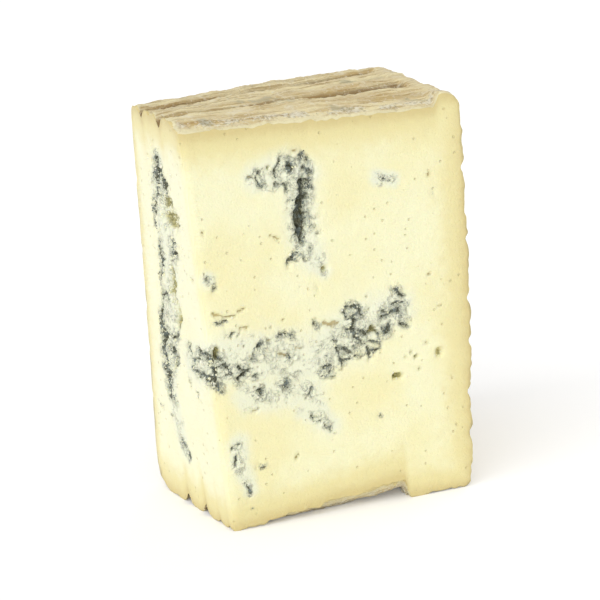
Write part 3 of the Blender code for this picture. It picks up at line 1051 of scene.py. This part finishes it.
class PasteLook(bpy.types.PropertyGroup):
    """Colours of the paste, the mould and the rind"""

    cream: FloatVectorProperty(
        name="Cream",
        description="Colour of the paste in the middle of a cut",
        subtype="COLOR",
        size=4,
        min=0,
        max=1,
        default=linear("f9f6cd"),
    )
    mould: FloatVectorProperty(
        name="Mould",
        description="Colour of the blue mould in the veins",
        subtype="COLOR",
        size=4,
        min=0,
        max=1,
        default=linear("7c8580"),
    )
    rind: FloatVectorProperty(
        name="Rind",
        description="Colour of the rind's pale blotches",
        subtype="COLOR",
        size=4,
        min=0,
        max=1,
        default=linear("dccaa0"),
    )


class ScatterSizes(bpy.types.PropertyGroup):
    """How many grains and crumbs are scattered, and how large they are"""

    grains: IntProperty(
        name="Mould grains",
        description="How many grains of mould lie in the veins",
        default=2600,
        min=0,
        max=4500,
    )
    grain_size: FloatProperty(
        name="Grain size",
        description="Middle radius of a grain of mould",
        unit="LENGTH",
        default=0.18 * MM,
        min=0.05 * MM,
        max=2 * MM,
    )
    crumbs: IntProperty(
        name="Crumbs",
        description="How many crumbs of paste cling to the wedge",
        default=900,
        min=0,
        max=4500,
    )
    crumb_size: FloatProperty(
        name="Crumb size",
        description="Middle radius of a crumb",
        unit="LENGTH",
        default=0.28 * MM,
        min=0.05 * MM,
        max=2 * MM,
    )


class StageLook(bpy.types.PropertyGroup):
    """Strengths of the lights and the colour of the floor"""

    sky: FloatProperty(
        name="Surrounding light",
        description="Strength of the even white light all round",
        default=0.62,
        min=0,
        max=2,
    )
    key: FloatProperty(
        name="Key light",
        description="Strength of the soft light from the front left",
        default=1.55,
        min=0,
        max=10,
    )
    fill: FloatProperty(
        name="Fill light",
        description="Strength of the soft light from the back right",
        default=0.7,
        min=0,
        max=10,
    )
    floor: FloatVectorProperty(
        name="Floor",
        description="Colour of the floor",
        subtype="COLOR",
        size=4,
        min=0,
        max=1,
        default=linear("fafafa"),
    )


class CHEESE_OT_body(bpy.types.Operator):
    """Build the body of the wedge, with its cuts and rind"""

    bl_idname = "cheese.body"
    bl_label = "Cheese body"

    def execute(self, context):
        look = context.scene.cheese_paste
        points, quads, face_materials, marks = body_mesh()
        materials = (paste_material(look), rind_material(look))
        body = new_piece("cheese_body", points, quads, materials, face_materials, marks)
        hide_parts("cheese_wedge")
        return {"FINISHED"}


class CHEESE_OT_mould_grains(bpy.types.Operator):
    """Scatter grains of mould in the veins and in the needle channel"""

    bl_idname = "cheese.mould_grains"
    bl_label = "Mould grains"

    def execute(self, context):
        sizes = context.scene.cheese_scatter
        rng = np.random.default_rng(7)
        places, is_left = along_lines(VEINS + CHANNEL + CHANNEL, sizes.grains, 0.55, rng)
        radii = sizes.grain_size / MM * rng.lognormal(0, 0.4, len(places))
        points, faces = pebbles(on_surface(places, is_left, radii, 0.35), radii, rng)
        new_piece("mould_grains", points, faces, (mould_material(context.scene.cheese_paste),))
        return {"FINISHED"}


class CHEESE_OT_crumbs(bpy.types.Operator):
    """Scatter crumbs of paste in the holes, round the veins and along the lips"""

    bl_idname = "cheese.crumbs"
    bl_label = "Crumbs"

    def execute(self, context):
        sizes = context.scene.cheese_scatter
        rng = np.random.default_rng(11)
        places, is_left = along_lines(VEINS + OLIVE_HOLES + CRACKS, sizes.crumbs, 2.2, rng)
        radii = sizes.crumb_size / MM * rng.lognormal(0, 0.35, len(places))
        points, faces = pebbles(on_surface(places, is_left, radii, 0.55), radii, rng)
        new_piece("curd_crumbs", points, faces, (crumb_material(context.scene.cheese_paste),))
        return {"FINISHED"}


def look_at(obj, eye, target, roll=0.0):
    """Places an object at eye, facing target, turned by roll radians about its view line."""
    turn = (Vector(eye) - Vector(target)).to_track_quat("Z", "Y").to_matrix().to_4x4()
    obj.matrix_world = Matrix.Translation(eye) @ turn @ Matrix.Rotation(roll, 4, "Z")


def soft_light(name, eye, strength):
    """A far light from the side of eye, as wide as a large diffuser, so its shadows are soft."""
    light = bpy.data.lights.new(name, "SUN")
    light.energy = strength
    light.angle = np.radians(70)
    lamp = bpy.data.objects.new(name, light)
    bpy.context.scene.collection.objects.link(lamp)
    look_at(lamp, eye, (0, 0, 0))


def paper_material(colour):
    """Floor of matt white paper. A camera ray gets a little more than it reflects, up to white."""
    material, tree, *_ = new_material("matt_white_paper")
    rays = node(tree, "ShaderNodeLightPath").node.outputs
    seen = node(tree, MATH, (rays["Is Camera Ray"], rays["Is Glossy Ray"]), operation="MAXIMUM")
    seen = node(tree, MATH, (seen, rays["Is Transmission Ray"]), operation="MAXIMUM")
    strength = node(tree, MATH, (seen, 0.12), operation="MULTIPLY")
    matt = node(tree, "ShaderNodeBsdfDiffuse", {"Color": (*colour,)})
    glow = node(tree, "ShaderNodeEmission", {"Strength": strength})
    node(tree, "ShaderNodeOutputMaterial", (node(tree, "ShaderNodeAddShader", (matt, glow)),))
    return material


class CHEESE_OT_stage(bpy.types.Operator):
    """Set up the floor, the soft lamps, the surrounding light and the camera"""

    bl_idname = "cheese.stage"
    bl_label = "Stage"

    def execute(self, context):
        scene, look = context.scene, context.scene.cheese_stage
        half = 5.0
        mesh = bpy.data.meshes.new("floor")
        corners = ((-half, -half, 0), (half, -half, 0), (half, half, 0), (-half, half, 0))
        mesh.from_pydata(corners, [], [(0, 1, 2, 3)])
        mesh.materials.append(paper_material(look.floor))
        floor = bpy.data.objects.new("floor", mesh)
        scene.collection.objects.link(floor)

        soft_light("key", (-0.8, -0.68, 0.75), look.key)
        soft_light("fill", (1.0, 0.6, 0.6), look.fill)

        world = bpy.data.worlds.new("white_tent")
        world.use_nodes = True
        tree = world.node_tree
        tree.nodes.clear()
        rays = node(tree, "ShaderNodeLightPath").node.outputs
        white = (rays["Is Camera Ray"], rays["Is Transmission Ray"])
        seen = node(tree, MATH, white, operation="MAXIMUM")
        strength = node(tree, MIX, {0: seen, 2: look.sky, 3: 1.0}, data_type="FLOAT")
        sky = node(tree, "ShaderNodeBackground", {"Color": (1, 1, 1, 1), "Strength": strength})
        node(tree, "ShaderNodeOutputWorld", (sky,))
        scene.world = world

        # The eye stands this far and this way from its target, inside the wedge.
        lens = bpy.data.cameras.new("camera")
        lens.lens = 106.6
        lens.sensor_width = 36
        camera = bpy.data.objects.new("camera", lens)
        scene.collection.objects.link(camera)
        target = np.array((-8.71, -19.67, 60.42)) * MM
        eye = target + 528.4 * MM * np.array((-0.3675, -0.8993, 0.2371))
        look_at(camera, eye, target, np.radians(-2.7667))
        scene.camera = camera
        scene.view_settings.view_transform = "Standard"
        return {"FINISHED"}


class CHEESE_PT_panel(bpy.types.Panel):
    """Buttons that build the wedge, and its settings"""

    bl_label = "Blue cheese wedge"
    bl_idname = "CHEESE_PT_panel"
    bl_space_type = "VIEW_3D"
    bl_region_type = "UI"
    bl_category = "Cheese"

    def draw(self, context):
        scene = context.scene
        for operator in OPERATORS:
            self.layout.operator(operator.bl_idname)
        for group in (scene.cheese_paste, scene.cheese_scatter, scene.cheese_stage):
            for name in group.__annotations__:
                self.layout.prop(group, name)


OPERATORS = (CHEESE_OT_body, CHEESE_OT_mould_grains, CHEESE_OT_crumbs, CHEESE_OT_stage)
GROUPS = {"cheese_paste": PasteLook, "cheese_scatter": ScatterSizes, "cheese_stage": StageLook}


def register():
    for owner in (*GROUPS.values(), *OPERATORS, CHEESE_PT_panel):
        bpy.utils.register_class(owner)
    for name, group in GROUPS.items():
        setattr(bpy.types.Scene, name, PointerProperty(type=group))


def unregister():
    for name in GROUPS:
        delattr(bpy.types.Scene, name)
    for owner in (CHEESE_PT_panel, *reversed(OPERATORS), *GROUPS.values()):
        bpy.utils.unregister_class(owner)


def main():
    register()
    bpy.ops.cheese.body()
    bpy.ops.cheese.mould_grains()
    bpy.ops.cheese.crumbs()
    bpy.ops.cheese.stage()


if __name__ == "__main__":
    main()
